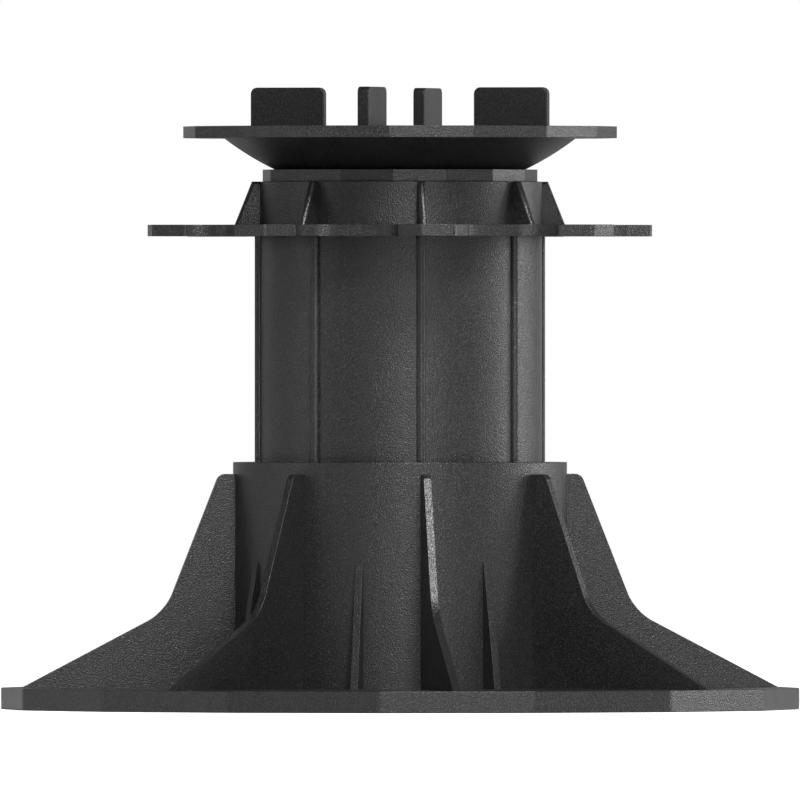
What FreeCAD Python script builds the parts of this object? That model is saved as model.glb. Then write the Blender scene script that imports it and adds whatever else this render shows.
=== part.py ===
import FreeCAD, Part
import math
import os

from FreeCAD import Vector

# A decking pedestal of black moulded polypropylene. A finned base carries an adjusting sleeve
# in its threaded bore, and a head on a spherical seat levels itself under the paving slabs.
# Everything is in millimetres. The base stands on z = 0, its axis is Z, and the spacer tabs
# lie along X and Y. The sleeve is shown part way up its travel.

# Patterns round the axis
facet_count = 16
fin_count = 8

# Base plate, cored from below, with a skirt round its edge
base_corner_radius = 100.0
base_edge_height = 5.4
base_skin = 3.0
base_skirt_wall = 3.0
base_under_rib = 2.0
drain_hole_radius = 25.0
screw_count = 4
screw_circle_radius = 80.0
screw_hole_radius = 3.0
screw_boss_wall = 4.0

# Base tube
base_tube_radius = 41.75
base_tube_height = 61.8
base_tube_wall = 3.0

# Tall fins between the facet corners, and short fins half-way between them
fin_thickness = 2.0
fin_top_drop = 2.95
fin_top_reach = 3.95
fin_top_round = 2.2
fin_knee_reach = 17.55
fin_knee_height = 24.4
fin_knee_round = 12.5
fin_tip_inset = 2.4
short_fin_height = 36.95
short_fin_top_reach = 0.35
short_fin_foot_reach = 5.65

# Thread between the base's bore and the sleeve's foot, right-handed
thread_pitch = 8.0
thread_depth = 1.8
thread_flank_deg = 15.0
thread_flank_clearance = 0.3
thread_root_clearance = 0.25
male_thread_turns = 1.25
female_thread_end = 2.4
travel_down = 30.0
floor_clearance = 0.8

# Adjusting sleeve
sleeve_length = 95.7
sleeve_wall = 3.0
rib_height = 1.2
rib_width = 2.3
rib_crest_clearance = 0.25
collar_height = 10.8

# Lobed grip flange on the sleeve
flange_thickness = 2.9
lobe_tip_reach = 27.7
lobe_tip_width = 9.1
lobe_tip_round = 1.5
lobe_shoulder_round = 1.3
valley_width = 25.8
valley_depth = 7.95
valley_floor_reach = 11.25
valley_round = 7.8

# Gussets from the flange to the collar
gusset_thickness = 2.1
gusset_top_reach = 1.9
gusset_foot_reach = 6.25

# Spherical seat: the head's bowl rests on a conical land in the socket
seat_radius = 72.1
seat_gap = 0.3
seat_land_width = 10.0
tilt_limit_deg = 5.0
running_gap = 0.3

# Socket on the sleeve's upper end, snapped under a ledge in the bore
rim_setback = 1.1
rim_height = 3.0
rim_land = 1.3
socket_shell = 2.6
socket_floor_gap = 0.9
socket_skirt_wall = 2.0
socket_rib = 2.0
socket_boss_wall = 3.5
ledge_depth = 1.5
ledge_height = 3.0
hook_height = 2.8
hook_overlap = 1.0
hook_slot_width = 5.0

# Stud that keeps the head on its seat
stud_shank_radius = 6.0
stud_core_radius = 3.2
stud_cover = 1.0
stud_head_thickness = 2.4
stud_barb_overlap = 1.0
stud_barb_height = 5.0
stud_slot_width = 2.4
stud_slot_depth = 12.0

# Head
head_corner_radius = 54.3
head_plate_thickness = 2.95
head_stand = 7.85
bowl_wall = 2.5
bowl_rib = 2.0
bowl_ring_wall = 2.0

# Spacer disc with its four tabs
disc_ledge = 1.3
pick_hole_radius = 5.0
tab_thickness = 2.9
tab_height = 9.75
tab_inner_reach = 19.3
tab_length = 18.9
tab_corner_round = 1.6
tab_count = 4

# Overlap that lets a rib or fin grow out of the wall that carries it
root_overlap = 1.0

# Sizes that follow, from the bottom upwards
facet_cos = math.cos(math.pi / facet_count)
thread_root_radius = base_tube_radius - base_tube_wall
thread_crest_radius = thread_root_radius - thread_depth
rib_radius = thread_crest_radius - rib_crest_clearance
sleeve_radius = rib_radius - rib_height
sleeve_bore = sleeve_radius - sleeve_wall
male_crest_radius = thread_root_radius - thread_root_clearance
flank_slope = math.tan(math.radians(thread_flank_deg))

sleeve_bottom = base_edge_height + floor_clearance + travel_down
sleeve_top = sleeve_bottom + sleeve_length
flange_top = sleeve_top - collar_height
flange_bottom = flange_top - flange_thickness
ledge_bottom = flange_top - ledge_height
ledge_top = flange_top
ledge_radius = sleeve_bore - ledge_depth

rim_corner_radius = sleeve_radius - rim_setback
rim_top = sleeve_top + rim_height
seat_mouth = rim_corner_radius * facet_cos - rim_land
seat_touch = seat_mouth - seat_land_width / 2.0
seat_angle = math.asin(seat_touch / (seat_radius + seat_gap))
seat_touch_drop = seat_land_width / 2.0 * math.tan(seat_angle)
seat_centre = rim_top - seat_touch_drop + seat_touch / math.tan(seat_angle)
socket_floor = seat_centre - seat_radius - socket_floor_gap
hook_top = ledge_bottom - running_gap
hook_bottom = hook_top - hook_height
spigot_radius = sleeve_bore - running_gap
skirt_radius = ledge_radius - running_gap
skirt_bore = skirt_radius - socket_skirt_wall
stud_hole = stud_shank_radius + running_gap
boss_radius = stud_hole + socket_boss_wall

inner_seat_radius = seat_radius - bowl_wall
tilt_shift = seat_radius * math.sin(math.radians(tilt_limit_deg))
head_hole = stud_shank_radius + tilt_shift + running_gap
stud_head_radius = head_hole + tilt_shift + stud_cover
bowl_ring_radius = stud_head_radius + tilt_shift + stud_cover
plate_bottom = rim_top + head_stand
plate_top = plate_bottom + head_plate_thickness
bowl_inner_mouth = math.sqrt(inner_seat_radius ** 2 - (seat_centre - plate_bottom) ** 2)
disc_radius = bowl_inner_mouth + disc_ledge
recess_radius = disc_radius + running_gap


def turned(shape, degrees):
    copy = shape.copy()
    copy.rotate(Vector(0, 0, 0), Vector(0, 0, 1), degrees)
    return copy


def around_axis(shape, count, first_deg):
    return [turned(shape, first_deg + 360.0 * step / count) for step in range(count)]


def cylinder(radius, bottom, top):
    return Part.makeCylinder(radius, top - bottom, Vector(0, 0, bottom))


def tube(outer, inner, bottom, top):
    return cylinder(outer, bottom, top).cut(cylinder(inner, bottom, top))


def seat_height(radius, sphere_radius):
    # Height of the lower half of a sphere about the seat's centre, at a radius from the axis.
    return seat_centre - math.sqrt(sphere_radius ** 2 - radius ** 2)


def seat_arc(inner, outer, sphere_radius):
    radii = [inner, (inner + outer) / 2.0, outer]
    return Part.Arc(*[Vector(r, 0, seat_height(r, sphere_radius)) for r in radii]).toShape()


def land_height(radius):
    # Height of the socket's conical land, which touches the seat's sphere half-way along.
    return rim_top - (seat_mouth - radius) * math.tan(seat_angle)


def faceted_prism(corner_radius, bottom, top):
    # A facet faces along X, so each corner lies half a facet further round.
    corners = []
    for step in range(facet_count + 1):
        angle = 2.0 * math.pi * (step + 0.5) / facet_count
        corners.append(Vector(corner_radius * math.cos(angle), corner_radius * math.sin(angle), bottom))
    return Part.Face(Part.makePolygon(corners)).extrude(Vector(0, 0, top - bottom))


def rounded_outline(corners):
    # Each corner is a point and the radius that rounds it, 0 for a sharp one.
    edges = []
    previous_end = None
    first_start = None
    for index, (point, radius) in enumerate(corners):
        to_last = corners[index - 1][0].sub(point).normalize()
        to_next = corners[(index + 1) % len(corners)][0].sub(point).normalize()
        half_angle = to_last.getAngle(to_next) / 2.0
        setback = radius / math.tan(half_angle)
        start = point.add(to_last * setback)
        end = point.add(to_next * setback)
        if previous_end is not None:
            edges.append(Part.LineSegment(previous_end, start).toShape())
        else:
            first_start = start
        if radius > 0:
            inward = to_last.add(to_next).normalize()
            middle = point.add(inward * (radius / math.sin(half_angle) - radius))
            edges.append(Part.Arc(start, middle, end).toShape())
        previous_end = end
    edges.append(Part.LineSegment(previous_end, first_start).toShape())
    return Part.Face(Part.Wire(edges))


def radial_web(corners, thickness):
    # A web that stands on the XZ plane, drawn as (radius, height, rounding).
    points = [(Vector(r, -thickness / 2.0, z), rounding) for r, z, rounding in corners]
    return rounded_outline(points).extrude(Vector(0, thickness, 0))


def turned_profile(corners):
    points = [(Vector(r, 0, z), rounding) for r, z, rounding in corners]
    return rounded_outline(points).revolve(Vector(0, 0, 0), Vector(0, 0, 1), 360)


def thread_half_width(radius, is_male):
    # Half of a ridge's width along the axis: both ridges are as wide where the flanks meet.
    middle_radius = (thread_crest_radius + male_crest_radius) / 2.0
    middle_half_width = thread_pitch / 4.0 - thread_flank_clearance / 2.0
    taper = (middle_radius - radius) * flank_slope
    if is_male:
        return middle_half_width + taper
    return middle_half_width - taper


def thread_ridge(root_radius, crest_radius, is_male, first_height, turns):
    root = thread_half_width(root_radius, is_male)
    crest = thread_half_width(crest_radius, is_male)
    corners = [
        Vector(root_radius, 0, first_height - root),
        Vector(crest_radius, 0, first_height - crest),
        Vector(crest_radius, 0, first_height + crest),
        Vector(root_radius, 0, first_height + root),
    ]
    profile = Part.makePolygon(corners + corners[:1])
    helix = Part.makeHelix(thread_pitch, thread_pitch * turns, root_radius)
    helix.translate(Vector(0, 0, first_height))
    return Part.Wire(helix).makePipeShell([profile], True, True)


male_thread_start = sleeve_bottom + thread_half_width(sleeve_radius - root_overlap, True)
male_thread_top = male_thread_start + male_thread_turns * thread_pitch
female_lowest = base_edge_height + female_thread_end
turns_below = math.floor((male_thread_start - thread_pitch / 2.0 - female_lowest) / thread_pitch)
female_thread_start = male_thread_start - (turns_below + 0.5) * thread_pitch
female_thread_turns = (base_tube_height - female_thread_end - female_thread_start) / thread_pitch


def make_base():
    coring_top = base_edge_height - base_skin
    plate = faceted_prism(base_corner_radius, 0, base_edge_height)
    coring = faceted_prism(base_corner_radius - base_skirt_wall / facet_cos, 0, coring_top)
    coring = coring.cut(tube(base_tube_radius, thread_root_radius, 0, coring_top))
    coring = coring.cut(cylinder(drain_hole_radius + base_skirt_wall, 0, coring_top))
    under_rib = radial_web([
        (drain_hole_radius, 0, 0),
        (base_corner_radius, 0, 0),
        (base_corner_radius, coring_top, 0),
        (drain_hole_radius, coring_top, 0),
    ], base_under_rib)
    boss = cylinder(screw_hole_radius + screw_boss_wall, 0, coring_top)
    boss.translate(Vector(screw_circle_radius, 0, 0))
    kept = around_axis(under_rib, fin_count, 180.0 / fin_count) + around_axis(boss, screw_count, 0)
    plate = plate.cut(coring.cut(kept))

    fin_top = base_tube_height - fin_top_drop
    fin_root = base_tube_radius - root_overlap
    plate_root = base_edge_height - root_overlap
    fin_tip = base_corner_radius * facet_cos - fin_tip_inset
    tall_fin = radial_web([
        (fin_root, plate_root, 0),
        (fin_tip, plate_root, 0),
        (fin_tip, base_edge_height, 0),
        (base_tube_radius + fin_knee_reach, fin_knee_height, fin_knee_round),
        (base_tube_radius + fin_top_reach, fin_top, fin_top_round),
        (fin_root, fin_top, 0),
    ], fin_thickness)
    short_fin = radial_web([
        (fin_root, plate_root, 0),
        (base_tube_radius + short_fin_foot_reach, plate_root, 0),
        (base_tube_radius + short_fin_foot_reach, base_edge_height, 0),
        (base_tube_radius + short_fin_top_reach, short_fin_height, 0),
        (fin_root, short_fin_height, 0),
    ], fin_thickness)
    wall = tube(base_tube_radius, thread_root_radius, plate_root, base_tube_height)
    fins = around_axis(tall_fin, fin_count, 180.0 / fin_count) + around_axis(short_fin, fin_count, 0)
    base = plate.fuse([wall] + fins)

    ridge = thread_ridge(thread_root_radius + root_overlap, thread_crest_radius, False,
                         female_thread_start, female_thread_turns)
    base = base.fuse(ridge)
    screw_hole = cylinder(screw_hole_radius, 0, base_edge_height)
    screw_hole.translate(Vector(screw_circle_radius, 0, 0))
    holes = around_axis(screw_hole, screw_count, 0) + [cylinder(drain_hole_radius, 0, base_edge_height)]
    return base.cut(holes)


def lobe_corners():
    # The outline of one lobe, from its tip to the floor of the valley beside it.
    tip_radius = sleeve_radius + lobe_tip_reach
    floor_radius = sleeve_radius + valley_floor_reach
    half_tip = lobe_tip_width / 2.0
    half_valley = valley_width / 2.0
    half_step = 180.0 / fin_count
    corners = []
    for lobe in range(fin_count):
        lobe_deg = half_step + 2.0 * half_step * lobe
        corners.append((lobe_deg, tip_radius, -half_tip, lobe_tip_round))
        corners.append((lobe_deg, tip_radius, half_tip, lobe_tip_round))
        valley_deg = lobe_deg + half_step
        corners.append((valley_deg, floor_radius + valley_depth, -half_valley, lobe_shoulder_round))
        corners.append((valley_deg, floor_radius, -half_valley, valley_round))
        corners.append((valley_deg, floor_radius, half_valley, valley_round))
        corners.append((valley_deg, floor_radius + valley_depth, half_valley, lobe_shoulder_round))
    return corners


def make_flange():
    points = []
    for degrees, radial, lateral, rounding in lobe_corners():
        angle = math.radians(degrees)
        x = radial * math.cos(angle) - lateral * math.sin(angle)
        y = radial * math.sin(angle) + lateral * math.cos(angle)
        points.append((Vector(x, y, flange_bottom), rounding))
    return rounded_outline(points).extrude(Vector(0, 0, flange_thickness))


def make_sleeve():
    wall = turned_profile([
        (sleeve_bore, sleeve_bottom, 0),
        (sleeve_radius, sleeve_bottom, 0),
        (sleeve_radius, sleeve_top, 0),
        (sleeve_bore, sleeve_top, 0),
        (sleeve_bore, ledge_top, 0),
        (ledge_radius, ledge_top, 0),
        (ledge_radius, ledge_bottom, 0),
        (sleeve_bore, ledge_bottom, 0),
    ])
    rib_bottom = male_thread_top + thread_pitch / 2.0
    rib = cylinder(rib_width / 2.0, rib_bottom, flange_top - root_overlap)
    rib.translate(Vector(rib_radius - rib_width / 2.0, 0, 0))
    rib = rib.cut(cylinder(sleeve_radius - root_overlap, rib_bottom, flange_top))
    gusset = radial_web([
        (sleeve_radius - root_overlap, flange_top - root_overlap, 0),
        (sleeve_radius + gusset_foot_reach, flange_top - root_overlap, 0),
        (sleeve_radius + gusset_foot_reach, flange_top, 0),
        (sleeve_radius + gusset_top_reach, sleeve_top, 0),
        (sleeve_radius - root_overlap, sleeve_top, 0),
    ], gusset_thickness)
    flange = make_flange().cut(cylinder(sleeve_radius - root_overlap, flange_bottom, flange_top))
    half_step = 180.0 / fin_count
    webs = around_axis(rib, fin_count, half_step) + around_axis(gusset, fin_count, half_step)
    ridge = thread_ridge(sleeve_radius - root_overlap, male_crest_radius, True,
                         male_thread_start, male_thread_turns)
    return wall.fuse(ridge).fuse([flange] + webs)


def make_socket():
    land_inner = seat_mouth - seat_land_width
    floor_bottom = socket_floor - socket_shell
    shell = socket_shell / math.cos(seat_angle)
    body = turned_profile([
        (stud_hole, hook_bottom, 0),
        (boss_radius, hook_bottom, 0),
        (boss_radius, floor_bottom, 0),
        (land_inner, floor_bottom, 0),
        (skirt_bore, land_height(skirt_bore) - shell, 0),
        (skirt_bore, hook_bottom, 0),
        (skirt_radius, hook_bottom, 0),
        (skirt_radius + hook_overlap, hook_top, 0),
        (skirt_radius, hook_top, 0),
        (skirt_radius, ledge_top + running_gap, 0),
        (spigot_radius, ledge_top + running_gap, 0),
        (spigot_radius, sleeve_top + root_overlap, 0),
        (seat_mouth, sleeve_top + root_overlap, 0),
        (seat_mouth, rim_top, 0),
        (land_inner, land_height(land_inner), 0),
        (land_inner, socket_floor, 0),
        (stud_hole, socket_floor, 0),
    ])
    rim = faceted_prism(rim_corner_radius, sleeve_top, rim_top).cut(cylinder(seat_mouth, sleeve_top, rim_top))
    rib = radial_web([
        (boss_radius - root_overlap, hook_top, 0),
        (skirt_bore + root_overlap, hook_top, 0),
        (skirt_bore + root_overlap, floor_bottom + root_overlap, 0),
        (boss_radius - root_overlap, floor_bottom + root_overlap, 0),
    ], socket_rib)
    slot = Part.makeBox(skirt_radius, hook_slot_width, ledge_bottom - hook_bottom,
                        Vector(skirt_bore - root_overlap, -hook_slot_width / 2.0, hook_bottom))
    body = body.cut(around_axis(slot, fin_count, 180.0 / fin_count))
    return body.fuse([rim] + around_axis(rib, fin_count, 0))


def make_stud():
    # The rim of its flat head rides in the bowl, and barbs on its split shank grip below the boss.
    barb_top = hook_bottom - running_gap
    barb_radius = stud_hole + stud_barb_overlap
    shank_bottom = barb_top - stud_barb_height
    head_under = seat_height(stud_head_radius, inner_seat_radius - seat_gap)
    head_top = head_under + stud_head_thickness
    stud = turned_profile([
        (stud_core_radius, shank_bottom, 0),
        (stud_shank_radius, shank_bottom, 0),
        (barb_radius, barb_top, 0),
        (stud_shank_radius, barb_top, 0),
        (stud_shank_radius, head_under, 0),
        (stud_head_radius, head_under, 0),
        (stud_head_radius, head_top, 0),
        (stud_core_radius, head_top, 0),
    ])
    slot = Part.makeBox(2.0 * barb_radius, stud_slot_width, stud_slot_depth,
                        Vector(-barb_radius, -stud_slot_width / 2.0, shank_bottom))
    return stud.cut([slot, turned(slot, 90)])


def make_head():
    # The bowl is turned from the seat's two arcs, with a ring round the stud's head inside it.
    ring_outer = bowl_ring_radius + bowl_ring_wall
    outer_mouth = math.sqrt(seat_radius ** 2 - (seat_centre - plate_bottom) ** 2)
    corners = [
        (outer_mouth, plate_bottom),
        (outer_mouth, plate_top),
        (recess_radius, plate_top),
        (recess_radius, plate_bottom),
        (bowl_inner_mouth, plate_bottom),
        (ring_outer, seat_height(ring_outer, inner_seat_radius)),
        (ring_outer, plate_bottom),
        (bowl_ring_radius, plate_bottom),
        (bowl_ring_radius, seat_height(bowl_ring_radius, inner_seat_radius)),
    ]
    points = [Vector(r, 0, z) for r, z in corners]
    edges = [Part.LineSegment(a, b).toShape() for a, b in zip(points, points[1:])]
    inner_arc = seat_arc(bowl_ring_radius, head_hole, inner_seat_radius)
    outer_arc = seat_arc(head_hole, outer_mouth, seat_radius)
    hole_wall = Part.LineSegment(inner_arc.lastVertex().Point, outer_arc.firstVertex().Point).toShape()
    section = Part.Face(Part.Wire(edges + [inner_arc, hole_wall, outer_arc]))
    bowl = section.revolve(Vector(0, 0, 0), Vector(0, 0, 1), 360)
    plate = faceted_prism(head_corner_radius, plate_bottom, plate_top)
    plate = plate.cut(cylinder(recess_radius, plate_bottom, plate_top))
    rib = radial_web([
        (bowl_ring_radius + bowl_ring_wall / 2.0, seat_height(bowl_ring_radius, inner_seat_radius), 0),
        (bowl_inner_mouth + disc_ledge / 2.0, plate_bottom - root_overlap / 2.0, 0),
        (bowl_inner_mouth + disc_ledge / 2.0, plate_bottom, 0),
        (bowl_ring_radius + bowl_ring_wall / 2.0, plate_bottom, 0),
    ], bowl_rib)
    return bowl.fuse([plate] + around_axis(rib, fin_count, 180.0 / fin_count)).removeSplitter()


def make_spacer():
    # The disc drops into the head's recess, rests on its ledge and ribs, and turns there.
    disc = cylinder(disc_radius, plate_bottom, plate_top)
    tab = radial_web([
        (tab_inner_reach, plate_top - root_overlap, 0),
        (tab_inner_reach + tab_length, plate_top - root_overlap, 0),
        (tab_inner_reach + tab_length, plate_top + tab_height, tab_corner_round),
        (tab_inner_reach, plate_top + tab_height, tab_corner_round),
    ], tab_thickness)
    disc = disc.fuse(around_axis(tab, tab_count, 0))
    return disc.cut(cylinder(pick_hole_radius, plate_bottom, plate_top)).removeSplitter()


os.makedirs("parts", exist_ok=True)
pieces = {
    "base": make_base(),
    "adjusting_sleeve": make_sleeve(),
    "head_socket": make_socket(),
    "retaining_stud": make_stud(),
    "head": make_head(),
    "spacer_disc": make_spacer(),
}
for name, shape in pieces.items():
    shape.exportStep("parts/" + name + ".step")
    print(name, "solids", len(shape.Solids), "valid", shape.isValid(), "volume", round(shape.Volume))
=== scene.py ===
import bmesh
import bpy
import math
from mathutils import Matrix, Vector


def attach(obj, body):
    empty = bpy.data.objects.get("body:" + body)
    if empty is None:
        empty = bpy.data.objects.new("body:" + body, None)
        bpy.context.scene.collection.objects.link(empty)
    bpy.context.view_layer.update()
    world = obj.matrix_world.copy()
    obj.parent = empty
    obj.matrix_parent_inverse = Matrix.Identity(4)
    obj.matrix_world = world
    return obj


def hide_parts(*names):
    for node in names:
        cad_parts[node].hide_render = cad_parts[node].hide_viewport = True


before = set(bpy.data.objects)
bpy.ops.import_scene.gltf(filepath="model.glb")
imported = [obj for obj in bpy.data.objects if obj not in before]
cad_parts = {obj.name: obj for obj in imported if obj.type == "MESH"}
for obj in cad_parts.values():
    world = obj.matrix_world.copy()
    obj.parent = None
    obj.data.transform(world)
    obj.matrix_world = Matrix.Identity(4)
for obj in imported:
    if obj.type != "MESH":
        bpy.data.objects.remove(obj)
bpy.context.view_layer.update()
print("frame loaded:", len(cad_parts), "nodes")

# A decking pedestal in black moulded polypropylene. Every moulding is modelled afresh over its
# CAD node, with the small edge rounds and the grained skin that the mould gives it.
# Sizes in the dictionaries are millimetres and degrees, and the scene is in metres.
mm = 0.001
sides = 16               # flat facets round the foot, the socket's rim and the head
webs = 8                 # fins, ribs and gussets stand on the same eight lines
webStart = 22.5          # degrees from +X to the first of them
overlap = 1.0            # how far pieces run into each other, or a cutter past its piece
near = 0.01              # how close an edge lies to the place it is picked by
facing = 0.9             # how far a face's normal has to point a way to count as facing it
fineSteps = 128          # steps round the wide turned faces
seamMerge = 0.002        # closes the seam of a turned piece


# Working in edit mode

def activate(obj):
    bpy.ops.object.select_all(action="DESELECT")
    obj.select_set(True)
    bpy.context.view_layer.objects.active = obj


def pick(obj, kind, test):
    # leaves obj in edit mode with the parts selected that pass the test
    activate(obj)
    bpy.ops.object.mode_set(mode="EDIT")
    bpy.ops.mesh.select_mode(type=kind)
    bpy.ops.mesh.select_all(action="DESELECT")
    mesh = bmesh.from_edit_mesh(obj.data)
    for part in {"VERT": mesh.verts, "EDGE": mesh.edges, "FACE": mesh.faces}[kind]:
        if test(part):
            part.select_set(True)
    bmesh.update_edit_mesh(obj.data)


def leaveEdit():
    bpy.ops.object.mode_set(mode="OBJECT")


def roundEdges(obj, test, width, segments=3):
    pick(obj, "EDGE", test)
    bpy.ops.mesh.bevel(offset=width * mm, offset_type="OFFSET", segments=segments, affect="EDGES")
    leaveEdit()


def roundCorner(obj, test, radius, cornerDeg, segments):
    # rounds edges between two straight runs that meet at cornerDeg
    setback = radius / math.tan(math.radians(cornerDeg / 2))
    pick(obj, "EDGE", test)
    bpy.ops.mesh.bevel(offset=setback * mm, offset_type="ABSOLUTE", segments=segments,
                       affect="EDGES")
    leaveEdit()


def sharpEdge(edge, degrees=60):
    return len(edge.link_faces) == 2 and edge.calc_face_angle(0) > math.radians(degrees)


def uprightEdge(edge):
    return abs(edge.verts[0].co.z - edge.verts[1].co.z) > mm


def levelEdge(edge):
    return abs(edge.verts[0].co.z - edge.verts[1].co.z) < near * mm


def block(name, low, high):
    # a cube between two corners, given in millimetres
    bpy.ops.object.select_all(action="DESELECT")
    middle = [(a + b) / 2 * mm for a, b in zip(low, high)]
    bpy.ops.mesh.primitive_cube_add(size=1, location=middle)
    obj = bpy.context.active_object
    obj.name = name
    obj.scale = [(b - a) * mm for a, b in zip(low, high)]
    bpy.ops.object.transform_apply(location=True, rotation=True, scale=True)
    return obj


def drum(name, radius, low, high, corners=96, place=(0, 0)):
    bpy.ops.object.select_all(action="DESELECT")
    bpy.ops.mesh.primitive_cylinder_add(
        vertices=corners, radius=radius * mm, depth=(high - low) * mm,
        location=(place[0] * mm, place[1] * mm, (low + high) / 2 * mm),
        rotation=(0, 0, math.pi / corners))
    obj = bpy.context.active_object
    obj.name = name
    bpy.ops.object.transform_apply(location=True, rotation=True, scale=True)
    return obj


def drawOutline(name, points):
    # one vertex is drawn out along the outline, and the face closes it
    bpy.ops.object.select_all(action="DESELECT")
    bpy.ops.mesh.primitive_plane_add(size=mm, location=[c * mm for c in points[0]])
    obj = bpy.context.active_object
    obj.name = name
    bpy.ops.object.transform_apply(location=True, rotation=True, scale=True)
    bpy.ops.object.mode_set(mode="EDIT")
    bpy.ops.mesh.select_mode(type="VERT")
    bpy.ops.mesh.select_all(action="SELECT")
    bpy.ops.mesh.merge(type="CENTER")
    for before, after in zip(points, points[1:]):
        step = (Vector(after) - Vector(before)) * mm
        bpy.ops.mesh.extrude_region_move(TRANSFORM_OT_translate={"value": step})
    bpy.ops.mesh.select_all(action="SELECT")
    bpy.ops.mesh.edge_face_add()
    leaveEdit()
    return obj


def roundedPath(corners, arcSteps):
    # corners are (u, v, radius), and each radius becomes a short arc
    path = []
    for index, (u, v, radius) in enumerate(corners):
        corner = Vector((u, v))
        if radius == 0:
            path.append((u, v))
            continue
        toLast = (Vector(corners[index - 1][:2]) - corner).normalized()
        toNext = (Vector(corners[(index + 1) % len(corners)][:2]) - corner).normalized()
        half = toLast.angle(toNext) / 2
        inward = (toLast + toNext).normalized()
        centre = corner + inward * (radius / math.sin(half))
        start = corner + toLast * (radius / math.tan(half)) - centre
        end = corner + toNext * (radius / math.tan(half)) - centre
        sweep = start.angle_signed(end)
        for step in range(arcSteps + 1):
            turn = -sweep * step / arcSteps
            arm = Vector((start.x * math.cos(turn) - start.y * math.sin(turn),
                          start.x * math.sin(turn) + start.y * math.cos(turn)))
            path.append(tuple(centre + arm))
    return path


def turnedPiece(name, corners, arcSteps=3):
    # an outline of (radius, height, rounding) spun about the pedestal's axis
    outline = [(r, 0, z) for r, z in roundedPath(corners, arcSteps)]
    obj = drawOutline(name, outline)
    bpy.ops.object.mode_set(mode="EDIT")
    bpy.ops.mesh.select_all(action="SELECT")
    bpy.ops.mesh.delete(type="ONLY_FACE")
    bpy.ops.mesh.select_all(action="SELECT")
    bpy.ops.mesh.spin(steps=fineSteps, angle=2 * math.pi, center=(0, 0, 0), axis=(0, 0, 1))
    bpy.ops.mesh.select_all(action="SELECT")
    bpy.ops.mesh.remove_doubles(threshold=seamMerge * mm)
    bpy.ops.mesh.normals_make_consistent(inside=False)
    leaveEdit()
    return obj


def thickened(obj, direction, thickness):
    # gives a flat face its thickness
    pick(obj, "FACE", lambda face: True)
    bpy.ops.mesh.extrude_region_move(
        TRANSFORM_OT_translate={"value": Vector(direction) * thickness * mm})
    bpy.ops.mesh.select_all(action="SELECT")
    bpy.ops.mesh.normals_make_consistent(inside=False)
    leaveEdit()
    return obj


def aroundAxis(obj, count, startDeg):
    # copies of a piece round the axis, joined as one object
    copies = []
    for step in range(count):
        activate(obj)
        bpy.ops.object.duplicate()
        bpy.ops.transform.rotate(value=-math.radians(startDeg + 360 * step / count),
                                 orient_axis="Z", center_override=(0, 0, 0))
        bpy.ops.object.transform_apply(location=True, rotation=True, scale=True)
        copies.append(bpy.context.active_object)
    bpy.data.objects.remove(obj)
    for copy in copies:
        copy.select_set(True)
    bpy.ops.object.join()
    return bpy.context.active_object


def combine(target, tool, operation="UNION"):
    activate(target)
    modifier = target.modifiers.new("combine", "BOOLEAN")
    modifier.object = tool
    modifier.operation = operation
    modifier.solver = "EXACT"
    bpy.ops.object.modifier_apply(modifier=modifier.name)
    bpy.data.objects.remove(tool)
    return target


def threadRidge(name, size):
    # a ridge section of (radius, half width) wound up the axis
    first, turns = size["threadFirst"], size["threadTurns"]
    lower = [(r, 0, first - half) for r, half in size["threadProfile"]]
    upper = [(r, 0, first + half) for r, half in reversed(size["threadProfile"])]
    obj = drawOutline(name, lower + upper)
    pick(obj, "FACE", lambda face: True)
    bpy.ops.mesh.delete(type="ONLY_FACE")
    leaveEdit()
    winding = obj.modifiers.new("winding", "SCREW")
    winding.axis = "Z"
    winding.angle = 2 * math.pi * turns
    winding.screw_offset = size["pitch"] * turns * mm
    winding.steps = int(size["stepsPerTurn"] * turns)
    winding.render_steps = winding.steps
    winding.use_merge_vertices = False
    bpy.ops.object.modifier_apply(modifier=winding.name)
    pick(obj, "EDGE", lambda edge: edge.is_boundary)
    bpy.ops.mesh.edge_face_add()
    leaveEdit()
    pick(obj, "EDGE", lambda edge: edge.is_boundary)
    bpy.ops.mesh.edge_face_add()
    bpy.ops.mesh.select_all(action="SELECT")
    bpy.ops.mesh.normals_make_consistent(inside=False)
    leaveEdit()
    return obj


def prism(name, cornerRadius, low, high):
    # a sixteen-sided plate with a flat facing +X
    return drum(name, cornerRadius, low, high, corners=sides)


# Materials

def toLinear(hexColour):
    values = [int(hexColour[i:i + 2], 16) / 255 for i in (1, 3, 5)]
    linear = [v / 12.92 if v <= 0.04045 else ((v + 0.055) / 1.055) ** 2.4 for v in values]
    return (*linear, 1)


def addNode(tree, kind, settings=None, links=None):
    # settings name the node's own options or its sockets, links join its sockets to others
    node = tree.nodes.new(kind)
    for key, value in (settings or {}).items():
        if hasattr(node, key):
            setattr(node, key, value)
        else:
            node.inputs[key].default_value = value
    for key, source in (links or {}).items():
        tree.links.new(source, node.inputs[key])
    return node


grainedPlastic = {
    "colour": "#161617",                      # carbon black in polypropylene
    "paler": "#1c1c1d",
    "ior": 1.49,
    "roughness": 0.32,
    "shinier": 0.04, "duller": 0.05,          # how far the sheen strays either way
    "specular": 0.5,
    # The mould's spark-eroded texture is finer than this, and too fine to show at the picture's
    # scale, so it is drawn coarser.
    "grain": 0.3,
    "grainDepth": 0.1,
    "paintedGlint": "#363637",                    # painted glints: the grain's peaks are painted paler, a painted highlight standing in for light caught on the grain
    "paintedGlintFrom": 0.5, "paintedGlintFull": 0.75,
    "flow": 14.0,                             # slow change of sheen where the melt flowed
    "flowDetail": 3.0,
    "across": 0.7,                            # share of an offset that goes across the other way
}

# the spacer's mould is finished finer, so its tabs look darker and smoother, with fainter painted
# glints on the grain
smootherPlastic = {**grainedPlastic, "specular": 0.25, "grainDepth": 0.06, "paintedGlint": "#2c2c2d"}


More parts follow.
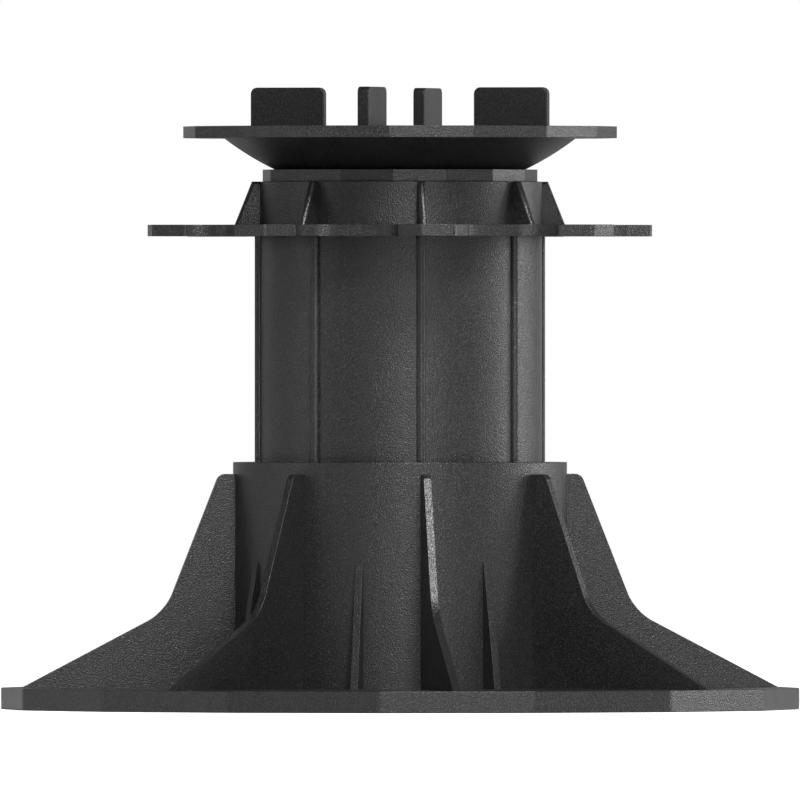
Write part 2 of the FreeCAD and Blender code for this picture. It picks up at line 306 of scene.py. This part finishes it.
def mouldedPolypropylene(name, settings, offset):
    # Black polypropylene from a spark-eroded mould: a fine pebbled grain breaks up a broad, dull
    # sheen, so flat faces read as dark grey and the rounded edges catch a soft line of light.
    # The offset moves the pattern, so that no two mouldings show the same one.
    material = bpy.data.materials.new(name)
    material.use_nodes = True
    tree = material.node_tree
    tree.nodes.clear()
    place = addNode(tree, "ShaderNodeTexCoord")
    shifted = addNode(tree, "ShaderNodeMapping",
                      {"Location": (offset, offset * settings["across"], 0)},
                      {"Vector": place.outputs["Object"]})
    flow = addNode(tree, "ShaderNodeTexNoise",
                   {"Scale": 1 / (settings["flow"] * mm), "Detail": settings["flowDetail"]},
                   {"Vector": shifted.outputs["Vector"]})
    grain = addNode(tree, "ShaderNodeTexNoise",
                    {"Scale": 1 / (settings["grain"] * mm), "Detail": 0.0},
                    {"Vector": shifted.outputs["Vector"]})
    tone = addNode(tree, "ShaderNodeMix",
                   {"data_type": "RGBA"}, {"Factor": flow.outputs["Fac"]})
    tone.inputs[6].default_value = toLinear(settings["colour"])
    tone.inputs[7].default_value = toLinear(settings["paler"])
    # the grain's peaks are painted paler: painted glints, a painted highlight standing in for light
    # caught on the grain
    paintedGlintMask = addNode(tree, "ShaderNodeMapRange",
                   {"From Min": settings["paintedGlintFrom"], "From Max": settings["paintedGlintFull"]},
                   {"Value": grain.outputs["Fac"]})
    colour = addNode(tree, "ShaderNodeMix",
                     {"data_type": "RGBA"}, {"Factor": paintedGlintMask.outputs["Result"]})
    colour.inputs[7].default_value = toLinear(settings["paintedGlint"])
    tree.links.new(tone.outputs[2], colour.inputs[6])
    sheen = addNode(tree, "ShaderNodeMapRange",
                    {"To Min": settings["roughness"] - settings["shinier"],
                     "To Max": settings["roughness"] + settings["duller"]},
                    {"Value": flow.outputs["Fac"]})
    bump = addNode(tree, "ShaderNodeBump",
                   {"Strength": 1.0, "Distance": settings["grainDepth"] * mm},
                   {"Height": grain.outputs["Fac"]})
    shader = addNode(tree, "ShaderNodeBsdfPrincipled",
                     {"IOR": settings["ior"], "Specular IOR Level": settings["specular"]},
                     {"Base Color": colour.outputs[2], "Roughness": sheen.outputs["Result"],
                      "Normal": bump.outputs["Normal"]})
    addNode(tree, "ShaderNodeOutputMaterial", None, {"Surface": shader.outputs["BSDF"]})
    return material


# edges that turn by more than smoothDeg stay sharp, and wide faces weigh more in the shading
finish = {"merge": 0.001, "smoothDeg": 35, "weight": 80}


def dress(obj, name, body, node, offset, plastic=grainedPlastic):
    # last touches that every finished moulding gets
    activate(obj)
    obj.name = name
    bpy.ops.object.mode_set(mode="EDIT")
    bpy.ops.mesh.select_all(action="SELECT")
    bpy.ops.mesh.remove_doubles(threshold=finish["merge"] * mm)
    leaveEdit()
    bpy.ops.object.shade_smooth_by_angle(angle=math.radians(finish["smoothDeg"]))
    weighting = obj.modifiers.new("weighting", "WEIGHTED_NORMAL")
    weighting.keep_sharp = True
    weighting.weight = finish["weight"]
    bpy.ops.object.modifier_apply(modifier=weighting.name)
    obj.data.materials.clear()
    obj.data.materials.append(mouldedPolypropylene(name + "_black_polypropylene", plastic, offset))
    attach(obj, body)
    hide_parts(node)
    print(name, "made:", len(obj.data.polygons), "faces")


# Base: foot plate, threaded tube and fins

foot = {
    "cornerRadius": 100.0, "edgeHeight": 5.4, "skin": 3.0, "skirt": 3.0,
    "cornerRound": 0.9, "rimRound": 0.2,
    "underRib": 2.0, "drainRadius": 25.0, "drainWall": 3.0,
    "screwCircle": 80.0, "screwRadius": 3.0, "bossRadius": 7.0, "screws": 4,
    "tubeRadius": 41.75, "tubeBore": 38.75, "tubeTop": 61.8, "tubeRound": 0.15,
    "finThickness": 2.0, "finRound": 0.12, "finTop": 58.85, "finTopReach": 45.7, "finTopRound": 2.2,
    "kneeReach": 59.3, "kneeHeight": 24.4, "kneeRound": 12.5, "finTip": 95.68,
    "shortTop": 36.95, "shortTopReach": 42.1, "shortFoot": 47.4,
    "pitch": 8.0, "threadFirst": 10.914, "threadTurns": 6.061, "stepsPerTurn": 72,
    "threadProfile": [(39.75, 2.393), (36.95, 1.642)],
}


def cornerAngle(before, corner, after):
    first = Vector(before) - Vector(corner)
    second = Vector(after) - Vector(corner)
    return math.degrees(first.angle(second))


def risenFin(name, thickness, root, bottom, levels):
    # a thin block is drawn up level by level, its outer edge moved in each time
    half = thickness / 2
    fin = block(name, (root, -half, bottom), (levels[0][0], half, levels[0][1]))
    for (reachBefore, heightBefore), (reach, height) in zip(levels, levels[1:]):
        pick(fin, "FACE", lambda face: face.normal.z > facing)
        bpy.ops.mesh.extrude_region_move(
            TRANSFORM_OT_translate={"value": (0, 0, (height - heightBefore) * mm)})
        leaveEdit()
        pick(fin, "VERT", lambda vert: vert.co.z > (height - near) * mm
             and vert.co.x > (reachBefore - near) * mm)
        bpy.ops.transform.translate(value=((reach - reachBefore) * mm, 0, 0))
        leaveEdit()
    # each side becomes one flat face again
    pick(fin, "FACE", lambda face: True)
    bpy.ops.mesh.dissolve_limited(angle_limit=math.radians(1))
    leaveEdit()
    return fin


def crossEdge(edge, x, z):
    # an edge that runs through a fin's thickness at (x, z)
    a, b = edge.verts[0].co, edge.verts[1].co
    middle = (a + b) / 2
    return abs(a.y - b.y) > mm and abs(middle.x - x * mm) < near * mm \
        and abs(middle.z - z * mm) < near * mm


def outerRim(edge, thickness, root, bottom):
    # an edge along either side of a fin's outer outline
    return all(abs(abs(v.co.y) - thickness / 2 * mm) < near * mm for v in edge.verts) \
        and edge.verts[0].co.y * edge.verts[1].co.y > 0 \
        and sum(v.co.x for v in edge.verts) / 2 > (root + near) * mm \
        and sum(v.co.z for v in edge.verts) / 2 > (bottom + near) * mm


def makeFoot(size):
    plate = prism("foot", size["cornerRadius"], 0, size["edgeHeight"])
    pick(plate, "FACE", lambda face: face.normal.z < -facing)
    bpy.ops.mesh.inset(thickness=size["skirt"] * mm)
    bpy.ops.mesh.extrude_region_move(
        TRANSFORM_OT_translate={"value": (0, 0, (size["edgeHeight"] - size["skin"]) * mm)})
    leaveEdit()
    flat = size["cornerRadius"] * math.cos(math.pi / sides)

    def onRim(edge):
        return all(v.co.xy.length > (flat - overlap) * mm for v in edge.verts)

    roundEdges(plate, lambda edge: onRim(edge) and uprightEdge(edge), size["cornerRound"])
    roundEdges(plate, lambda edge: onRim(edge) and sharpEdge(edge) and levelEdge(edge),
               size["rimRound"])

    pocketTop = size["edgeHeight"] - size["skin"]
    intoSkin = pocketTop + overlap / 2
    underRib = block("underRib", (size["drainRadius"], -size["underRib"] / 2, 0),
                     (size["finTip"], size["underRib"] / 2, intoSkin))
    combine(plate, aroundAxis(underRib, webs, webStart))
    boss = drum("boss", size["bossRadius"], 0, intoSkin, corners=48,
                place=(size["screwCircle"], 0))
    combine(plate, aroundAxis(boss, size["screws"], 0))
    combine(plate, drum("drainRing", size["drainRadius"] + size["drainWall"], 0, intoSkin))

    tube = turnedPiece("tube", [
        (size["tubeBore"], 0, 0),
        (size["tubeRadius"], 0, 0),
        (size["tubeRadius"], size["tubeTop"], size["tubeRound"]),
        (size["tubeBore"], size["tubeTop"], size["tubeRound"]),
    ])
    combine(plate, tube)

    root = size["tubeRadius"] - overlap
    bottom = size["edgeHeight"] - overlap
    knee = (size["kneeReach"], size["kneeHeight"])
    top = (size["finTopReach"], size["finTop"])
    tip = (size["finTip"], size["edgeHeight"])
    fin = risenFin("fin", size["finThickness"], root, bottom, [tip, knee, top])
    roundCorner(fin, lambda edge: crossEdge(edge, *knee), size["kneeRound"],
                cornerAngle(tip, knee, top), segments=8)
    roundCorner(fin, lambda edge: crossEdge(edge, *top), size["finTopRound"],
                cornerAngle(knee, top, (root, size["finTop"])), segments=5)
    roundEdges(fin, lambda edge: outerRim(edge, size["finThickness"], root, bottom),
               size["finRound"])
    combine(plate, aroundAxis(fin, webs, webStart))

    shortFin = risenFin("shortFin", size["finThickness"], root, bottom,
                        [(size["shortFoot"], size["edgeHeight"]),
                         (size["shortTopReach"], size["shortTop"])])
    roundEdges(shortFin, lambda edge: outerRim(edge, size["finThickness"], root, bottom),
               size["finRound"])
    combine(plate, aroundAxis(shortFin, webs, 0))

    combine(plate, threadRidge("boreThread", size))
    cutTop = size["edgeHeight"] + overlap
    combine(plate, drum("drain", size["drainRadius"], -overlap, cutTop), "DIFFERENCE")
    screwHole = drum("screwHole", size["screwRadius"], -overlap, cutTop, corners=32,
                     place=(size["screwCircle"], 0))
    return combine(plate, aroundAxis(screwHole, size["screws"], 0), "DIFFERENCE")


dress(makeFoot(foot), "finned_foot", "base", "base", offset=0.0)


# Adjusting sleeve: threaded foot, ribbed wall, lobed grip and its gussets

sleeve = {
    "radius": 35.5, "bore": 32.5, "bottom": 36.2, "top": 131.9, "edgeRound": 0.15,
    "ledgeRadius": 31.0, "ledgeBottom": 118.1, "ledgeTop": 121.1, "ledgeRound": 0.3,
    "ribRadius": 36.7, "ribWidth": 2.3, "ribBottom": 52.914,
    "gripBottom": 118.2, "gripTop": 121.1, "gripRound": 0.1,
    "tipReach": 27.7, "tipWidth": 9.1, "tipRound": 1.5, "shoulderRound": 1.3,
    "valleyWidth": 25.8, "valleyDepth": 7.95, "valleyFloor": 11.25, "valleyRound": 7.8,
    "gussetThickness": 2.1, "gussetFoot": 41.75, "gussetTop": 37.4, "gussetRound": 0.9,
    "pitch": 8.0, "threadFirst": 38.914, "threadTurns": 1.25, "stepsPerTurn": 72,
    "threadProfile": [(34.5, 2.714), (38.5, 1.642)],
}


def lobedOutline(size):
    # corners of the grip, lobe by lobe, given along and across each lobe's or valley's own line
    tip = size["radius"] + size["tipReach"]
    floor = size["radius"] + size["valleyFloor"]
    halfTip = size["tipWidth"] / 2
    halfValley = size["valleyWidth"] / 2
    corners = []
    for lobe in range(webs):
        lobeDeg = webStart + 360 * lobe / webs
        valleyDeg = lobeDeg + 180 / webs
        for degrees, along, across, rounding in (
                (lobeDeg, tip, -halfTip, size["tipRound"]),
                (lobeDeg, tip, halfTip, size["tipRound"]),
                (valleyDeg, floor + size["valleyDepth"], -halfValley, size["shoulderRound"]),
                (valleyDeg, floor, -halfValley, size["valleyRound"]),
                (valleyDeg, floor, halfValley, size["valleyRound"]),
                (valleyDeg, floor + size["valleyDepth"], halfValley, size["shoulderRound"])):
            turn = math.radians(degrees)
            corners.append((along * math.cos(turn) - across * math.sin(turn),
                            along * math.sin(turn) + across * math.cos(turn), rounding))
    return corners


def makeSleeve(size):
    wall = turnedPiece("sleeveWall", [
        (size["bore"], size["bottom"], size["edgeRound"]),
        (size["radius"], size["bottom"], size["edgeRound"]),
        (size["radius"], size["top"], size["edgeRound"]),
        (size["bore"], size["top"], size["edgeRound"]),
        (size["bore"], size["ledgeTop"], 0),
        (size["ledgeRadius"], size["ledgeTop"], size["ledgeRound"]),
        (size["ledgeRadius"], size["ledgeBottom"], size["ledgeRound"]),
        (size["bore"], size["ledgeBottom"], 0),
    ])
    outline = [(x, y, size["gripBottom"])
               for x, y in roundedPath(lobedOutline(size), arcSteps=6)]
    grip = thickened(drawOutline("grip", outline), (0, 0, 1), size["gripTop"] - size["gripBottom"])
    roundEdges(grip, levelEdge, size["gripRound"])
    root = size["radius"] - overlap
    combine(grip, drum("gripHole", root, size["gripBottom"] - overlap,
                       size["gripTop"] + overlap, corners=fineSteps), "DIFFERENCE")
    combine(wall, grip)

    bottom = size["gripTop"] - overlap
    halfRib = size["ribWidth"] / 2
    rib = drum("rib", halfRib, size["ribBottom"], bottom, corners=32,
               place=(size["ribRadius"] - halfRib, 0))
    combine(wall, aroundAxis(rib, webs, webStart))

    gusset = risenFin("gusset", size["gussetThickness"], root, bottom,
                      [(size["gussetFoot"], size["gripTop"]), (size["gussetTop"], size["top"])])
    roundEdges(gusset, lambda edge: outerRim(edge, size["gussetThickness"], root, bottom),
               size["gussetRound"], segments=5)
    combine(wall, aroundAxis(gusset, webs, webStart))
    return combine(wall, threadRidge("footThread", size))


dress(makeSleeve(sleeve), "grip_sleeve", "sleeve", "adjusting_sleeve", offset=0.31)


# Head socket: the faceted rim on the sleeve and the dished seat inside it

socket = {
    "rimCorner": 34.4, "rimBottom": 131.9, "rimTop": 134.9, "rimRound": 0.1, "cornerRound": 0.25,
    "mouth": 32.439, "landWidth": 10.0, "landDeg": 22.27,
    "floorTop": 126.851, "shell": 2.6,
    "spigot": 32.2, "skirt": 30.7, "skirtBore": 28.7, "hookTop": 117.8, "hookBottom": 115.0,
    "hookOverlap": 1.0, "slotWidth": 5.0, "slotReach": 3.0, "slotRise": 0.3, "ledgeTop": 121.4,
    "studHole": 6.3, "boss": 9.8, "rib": 2.0,
    "holeRound": 0.3, "hookRound": 0.2, "edgeRound": 0.2, "landRound": 0.8,
}


def makeSocket(size):
    slope = math.tan(math.radians(size["landDeg"]))
    landInner = size["mouth"] - size["landWidth"]
    landBottom = size["rimTop"] - size["landWidth"] * slope
    floorBottom = size["floorTop"] - size["shell"]
    underLand = size["rimTop"] - (size["mouth"] - size["skirtBore"]) * slope \
        - size["shell"] / math.cos(math.radians(size["landDeg"]))
    body = turnedPiece("socketBody", [
        (size["studHole"], size["hookBottom"], size["holeRound"]),
        (size["boss"], size["hookBottom"], size["holeRound"]),
        (size["boss"], floorBottom, 0),
        (landInner, floorBottom, 0),
        (size["skirtBore"], underLand, 0),
        (size["skirtBore"], size["hookBottom"], size["hookRound"]),
        (size["skirt"], size["hookBottom"], size["hookRound"]),
        (size["skirt"] + size["hookOverlap"], size["hookTop"], 0),
        (size["skirt"], size["hookTop"], 0),
        (size["skirt"], size["ledgeTop"], 0),
        (size["spigot"], size["ledgeTop"], size["edgeRound"]),
        (size["spigot"], size["rimBottom"] + overlap, 0),
        (size["mouth"], size["rimBottom"] + overlap, 0),
        (size["mouth"], size["rimTop"], size["edgeRound"]),
        (landInner, landBottom, size["landRound"]),
        (landInner, size["floorTop"], size["landRound"]),
        (size["studHole"], size["floorTop"], size["holeRound"]),
    ])
    rim = prism("rim", size["rimCorner"], size["rimBottom"], size["rimTop"])
    roundEdges(rim, uprightEdge, size["cornerRound"])
    roundEdges(rim, sharpEdge, size["rimRound"])
    combine(rim, drum("rimMouth", size["mouth"], size["rimBottom"] - overlap,
                      size["rimTop"] + overlap, corners=fineSteps), "DIFFERENCE")
    combine(body, rim)
    rib = block("socketRib", (size["boss"] - overlap, -size["rib"] / 2, size["hookTop"]),
                (size["skirtBore"] + overlap, size["rib"] / 2, floorBottom + overlap))
    combine(body, aroundAxis(rib, webs, 0))
    halfSlot = size["slotWidth"] / 2
    slot = block("hookSlot",
                 (size["skirtBore"] - overlap, -halfSlot, size["hookBottom"] - overlap),
                 (size["skirt"] + size["slotReach"], halfSlot, size["hookTop"] + size["slotRise"]))
    return combine(body, aroundAxis(slot, webs, webStart), "DIFFERENCE")


dress(makeSocket(socket), "dished_socket", "socket", "head_socket", offset=0.47)


# Bearing head: the faceted plate with its bowl

head = {
    "cornerRadius": 54.3, "plateBottom": 142.75, "plateTop": 145.7,
    "cornerRound": 0.25, "rimRound": 0.1,
    "recess": 41.395, "recessRound": 0.2, "bowlMouth": 39.795,
    "seatCentre": 199.851, "outerSphere": 72.1, "innerSphere": 69.6,
    "hole": 12.584, "ring": 27.152, "ringWall": 2.0,
    "rib": 2.0, "ribReach": 0.65, "ribSink": 0.5, "arcSteps": 18,
}


def sphereHeight(size, sphere, radius):
    return size["seatCentre"] - math.sqrt(size[sphere] ** 2 - radius ** 2)


def makeHead(size):
    ringOuter = size["ring"] + size["ringWall"]
    depth = size["seatCentre"] - size["plateBottom"]
    outerMouth = math.sqrt(size["outerSphere"] ** 2 - depth ** 2)
    section = [
        (outerMouth, size["plateBottom"], 0),
        (outerMouth, size["plateTop"], 0),
        (size["recess"], size["plateTop"], size["recessRound"]),
        (size["recess"], size["plateBottom"], 0),
        (size["bowlMouth"], size["plateBottom"], 0),
        (ringOuter, sphereHeight(size, "innerSphere", ringOuter), 0),
        (ringOuter, size["plateBottom"], 0),
        (size["ring"], size["plateBottom"], 0),
    ]
    for step in range(size["arcSteps"] + 1):
        radius = size["ring"] + (size["hole"] - size["ring"]) * step / size["arcSteps"]
        section.append((radius, sphereHeight(size, "innerSphere", radius), 0))
    for step in range(2 * size["arcSteps"]):
        radius = size["hole"] + (outerMouth - size["hole"]) * step / (2 * size["arcSteps"])
        section.append((radius, sphereHeight(size, "outerSphere", radius), 0))
    bowl = turnedPiece("bowl", section)
    plate = prism("bearingPlate", size["cornerRadius"], size["plateBottom"], size["plateTop"])
    roundEdges(plate, uprightEdge, size["cornerRound"])
    roundEdges(plate, sharpEdge, size["rimRound"])
    combine(plate, drum("recess", outerMouth - overlap / 2, size["plateBottom"] - overlap,
                        size["plateTop"] + overlap, corners=fineSteps), "DIFFERENCE")
    combine(bowl, plate)
    inner, outer = size["ring"] + overlap, size["bowlMouth"] + size["ribReach"]
    side = -size["rib"] / 2
    rib = drawOutline("bowlRib", [
        (inner, side, sphereHeight(size, "innerSphere", size["ring"])),
        (outer, side, size["plateBottom"] - size["ribSink"]),
        (outer, side, size["plateBottom"]),
        (inner, side, size["plateBottom"]),
    ])
    return combine(bowl, aroundAxis(thickened(rib, (0, 1, 0), size["rib"]), webs, webStart))


dress(makeHead(head), "bearing_head", "head", "head", offset=0.66)


# Spacer disc with the four tabs that set the joint between slabs

spacer = {
    "radius": 41.095, "bottom": 142.75, "top": 145.7, "rimRound": 0.2,
    "liftHole": 5.0, "holeRound": 0.2, "holeTopRound": 0.4,
    "tabInner": 19.3, "tabOuter": 38.2, "tabTop": 155.45, "tabThickness": 2.9,
    "tabCorner": 1.6, "tabRound": 0.3, "tabs": 4,
}


def makeSpacer(size):
    disc = turnedPiece("disc", [
        (size["liftHole"], size["bottom"], size["holeRound"]),
        (size["radius"], size["bottom"], size["rimRound"]),
        (size["radius"], size["top"], size["rimRound"]),
        (size["liftHole"], size["top"], size["holeTopRound"]),
    ])
    half = size["tabThickness"] / 2
    root = size["top"] - overlap
    tab = block("tab", (size["tabInner"], -half, root), (size["tabOuter"], half, size["tabTop"]))
    for x in (size["tabInner"], size["tabOuter"]):
        roundCorner(tab, lambda edge: crossEdge(edge, x, size["tabTop"]), size["tabCorner"],
                    90, segments=5)
    roundEdges(tab, lambda edge: abs(edge.verts[0].co.y - edge.verts[1].co.y) < near * mm
               and sum(v.co.z for v in edge.verts) / 2 > (root + near) * mm, size["tabRound"])
    return combine(disc, aroundAxis(tab, size["tabs"], 0))


dress(makeSpacer(spacer), "spacer_disc_tabs", "spacer", "spacer_disc", offset=0.83,
      plastic=smootherPlastic)

# The stud is hidden inside, so its CAD node is kept and only gets the plastic.
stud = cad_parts["retaining_stud"]
stud.data.materials.clear()
stud.data.materials.append(
    mouldedPolypropylene("stud_black_polypropylene", grainedPlastic, offset=1.1))
print("retaining_stud kept with its plastic")


# Studio: white ground, camera level with the head, large soft lamps all round

view = {"turnDeg": 14.0, "distance": 9400.0, "height": 97.4, "aim": 77.3,
        "lens": 1692.0, "sensor": 36.0, "near": 100.0, "far": 100000.0}


def studioPoint(turnDeg, distance, height):
    # a place round the pedestal, 0 degrees towards the camera and positive to the picture's right
    turn = math.radians(view["turnDeg"] + turnDeg)
    return Vector((math.sin(turn) * distance, -math.cos(turn) * distance, height)) * mm


def makeCamera():
    bpy.ops.object.select_all(action="DESELECT")
    place = studioPoint(0, view["distance"], view["height"])
    gaze = Vector((0, 0, view["aim"] * mm)) - place
    bpy.ops.object.camera_add(location=place, rotation=gaze.to_track_quat("-Z", "Y").to_euler())
    camera = bpy.context.active_object
    camera.data.lens = view["lens"]
    camera.data.sensor_width = view["sensor"]
    camera.data.clip_start = view["near"] * mm
    camera.data.clip_end = view["far"] * mm
    bpy.context.scene.camera = camera


makeCamera()
print("camera placed")

lampAim = 80.0           # height on the axis that every lamp points at
lamps = [
    # name, turn, distance, height, width, tall, watts
    ("sideLeft", -80, 1400, 250, 260, 500, 1.2),
    ("frontRight", 12, 1400, 250, 260, 500, 1.4),
    ("quarterRight", 80, 1400, 250, 260, 500, 1.3),
    ("sideRight", 100, 1400, 250, 260, 500, 2.4),
    ("backRight", 115, 1400, 250, 260, 500, 3.4),
    ("midFront", 10, 1300, 650, 400, 300, 3.2),
    ("highFront", 14, 1100, 1100, 400, 320, 25.0),
    ("lowFront", 10, 1400, 60, 900, 100, 0.8),
]


def makeLamp(name, turn, distance, height, width, tall, watts):
    bpy.ops.object.select_all(action="DESELECT")
    place = studioPoint(turn, distance, height)
    towards = Vector((0, 0, lampAim * mm)) - place
    bpy.ops.object.light_add(type="AREA", location=place,
                             rotation=towards.to_track_quat("-Z", "Y").to_euler())
    lamp = bpy.context.active_object
    lamp.name = name
    lamp.data.shape = "RECTANGLE"
    lamp.data.size = width * mm
    lamp.data.size_y = tall * mm
    lamp.data.energy = watts


for row in lamps:
    makeLamp(*row)
print("lamps placed:", len(lamps))


surroundings = {
    "fill": 0.0, "white": 1.0,
    # what reflections see, by how far up they look (0 is level, 1 straight up)
    "mirrored": 0.6, "paleBelow": 0.1, "overhead": 0.06, "dimAbove": 0.45,
}


def makeWorld(settings):
    # The background is white. Reflections see it pale round the sides and dim overhead, as under
    # a studio's dark ceiling, so that slopes that face up, and faces seen from their side, stay
    # as dark as the photograph shows them.
    world = bpy.data.worlds.new("studio")
    bpy.context.scene.world = world
    world.use_nodes = True
    tree = world.node_tree
    tree.nodes.clear()
    ray = addNode(tree, "ShaderNodeLightPath")
    place = addNode(tree, "ShaderNodeTexCoord")
    way = addNode(tree, "ShaderNodeSeparateXYZ", None, {0: place.outputs["Generated"]})
    ceiling = addNode(tree, "ShaderNodeMapRange",
                      {"From Min": settings["paleBelow"], "From Max": settings["dimAbove"],
                       "To Min": settings["mirrored"], "To Max": settings["overhead"]},
                      {"Value": way.outputs["Z"]})
    clear = addNode(tree, "ShaderNodeMath", {"operation": "MAXIMUM"},
                    {0: ray.outputs["Is Camera Ray"], 1: ray.outputs["Is Transmission Ray"]})
    dim = addNode(tree, "ShaderNodeBackground",
                  {"Color": (1, 1, 1, 1), "Strength": settings["fill"]})
    pale = addNode(tree, "ShaderNodeBackground", {"Color": (1, 1, 1, 1)},
                   {"Strength": ceiling.outputs["Result"]})
    bright = addNode(tree, "ShaderNodeBackground",
                     {"Color": (1, 1, 1, 1), "Strength": settings["white"]})
    unseen = addNode(tree, "ShaderNodeMixShader", None,
                     {0: ray.outputs["Is Glossy Ray"], 1: dim.outputs[0], 2: pale.outputs[0]})
    mixed = addNode(tree, "ShaderNodeMixShader", None,
                    {0: clear.outputs[0], 1: unseen.outputs[0], 2: bright.outputs[0]})
    addNode(tree, "ShaderNodeOutputWorld", None, {"Surface": mixed.outputs[0]})


makeWorld(surroundings)
print("world made")


paperGround = {
    "size": 8000.0, "drop": 0.05, "colour": "#d8d8d8",
    # how strongly it glows in the camera's eye, near the foot and from where it is full white
    "glow": 0.93, "glowFrom": 150.0, "whiteFrom": 600.0,
}


def makeGround(settings):
    # a pale ground that keeps the soft shadow, and glows up to full white further out
    bpy.ops.object.select_all(action="DESELECT")
    bpy.ops.mesh.primitive_plane_add(size=settings["size"] * mm,
                                     location=(0, 0, -settings["drop"] * mm))
    ground = bpy.context.active_object
    ground.name = "ground"
    bpy.ops.object.transform_apply(location=True, rotation=True, scale=True)
    material = bpy.data.materials.new("white_paper_ground")
    material.use_nodes = True
    tree = material.node_tree
    tree.nodes.clear()
    ray = addNode(tree, "ShaderNodeLightPath")
    paper = addNode(tree, "ShaderNodeBsdfDiffuse", {"Color": toLinear(settings["colour"])})
    place = addNode(tree, "ShaderNodeTexCoord")
    reach = addNode(tree, "ShaderNodeVectorMath", {"operation": "LENGTH"},
                    {0: place.outputs["Object"]})
    rise = addNode(tree, "ShaderNodeMapRange",
                   {"From Min": settings["glowFrom"] * mm,
                    "From Max": settings["whiteFrom"] * mm, "To Min": settings["glow"]},
                   {"Value": reach.outputs["Value"]})
    glow = addNode(tree, "ShaderNodeEmission", {"Color": (1, 1, 1, 1)},
                   {"Strength": rise.outputs["Result"]})
    lift = addNode(tree, "ShaderNodeAddShader")
    tree.links.new(paper.outputs[0], lift.inputs[0])
    tree.links.new(glow.outputs[0], lift.inputs[1])
    mixed = addNode(tree, "ShaderNodeMixShader", None, {"Fac": ray.outputs["Is Camera Ray"]})
    tree.links.new(paper.outputs[0], mixed.inputs[1])
    tree.links.new(lift.outputs[0], mixed.inputs[2])
    addNode(tree, "ShaderNodeOutputMaterial", None, {"Surface": mixed.outputs[0]})
    ground.data.materials.append(material)


makeGround(paperGround)
print("ground made")

bpy.context.scene.view_settings.view_transform = "Standard"

print("scene ready")
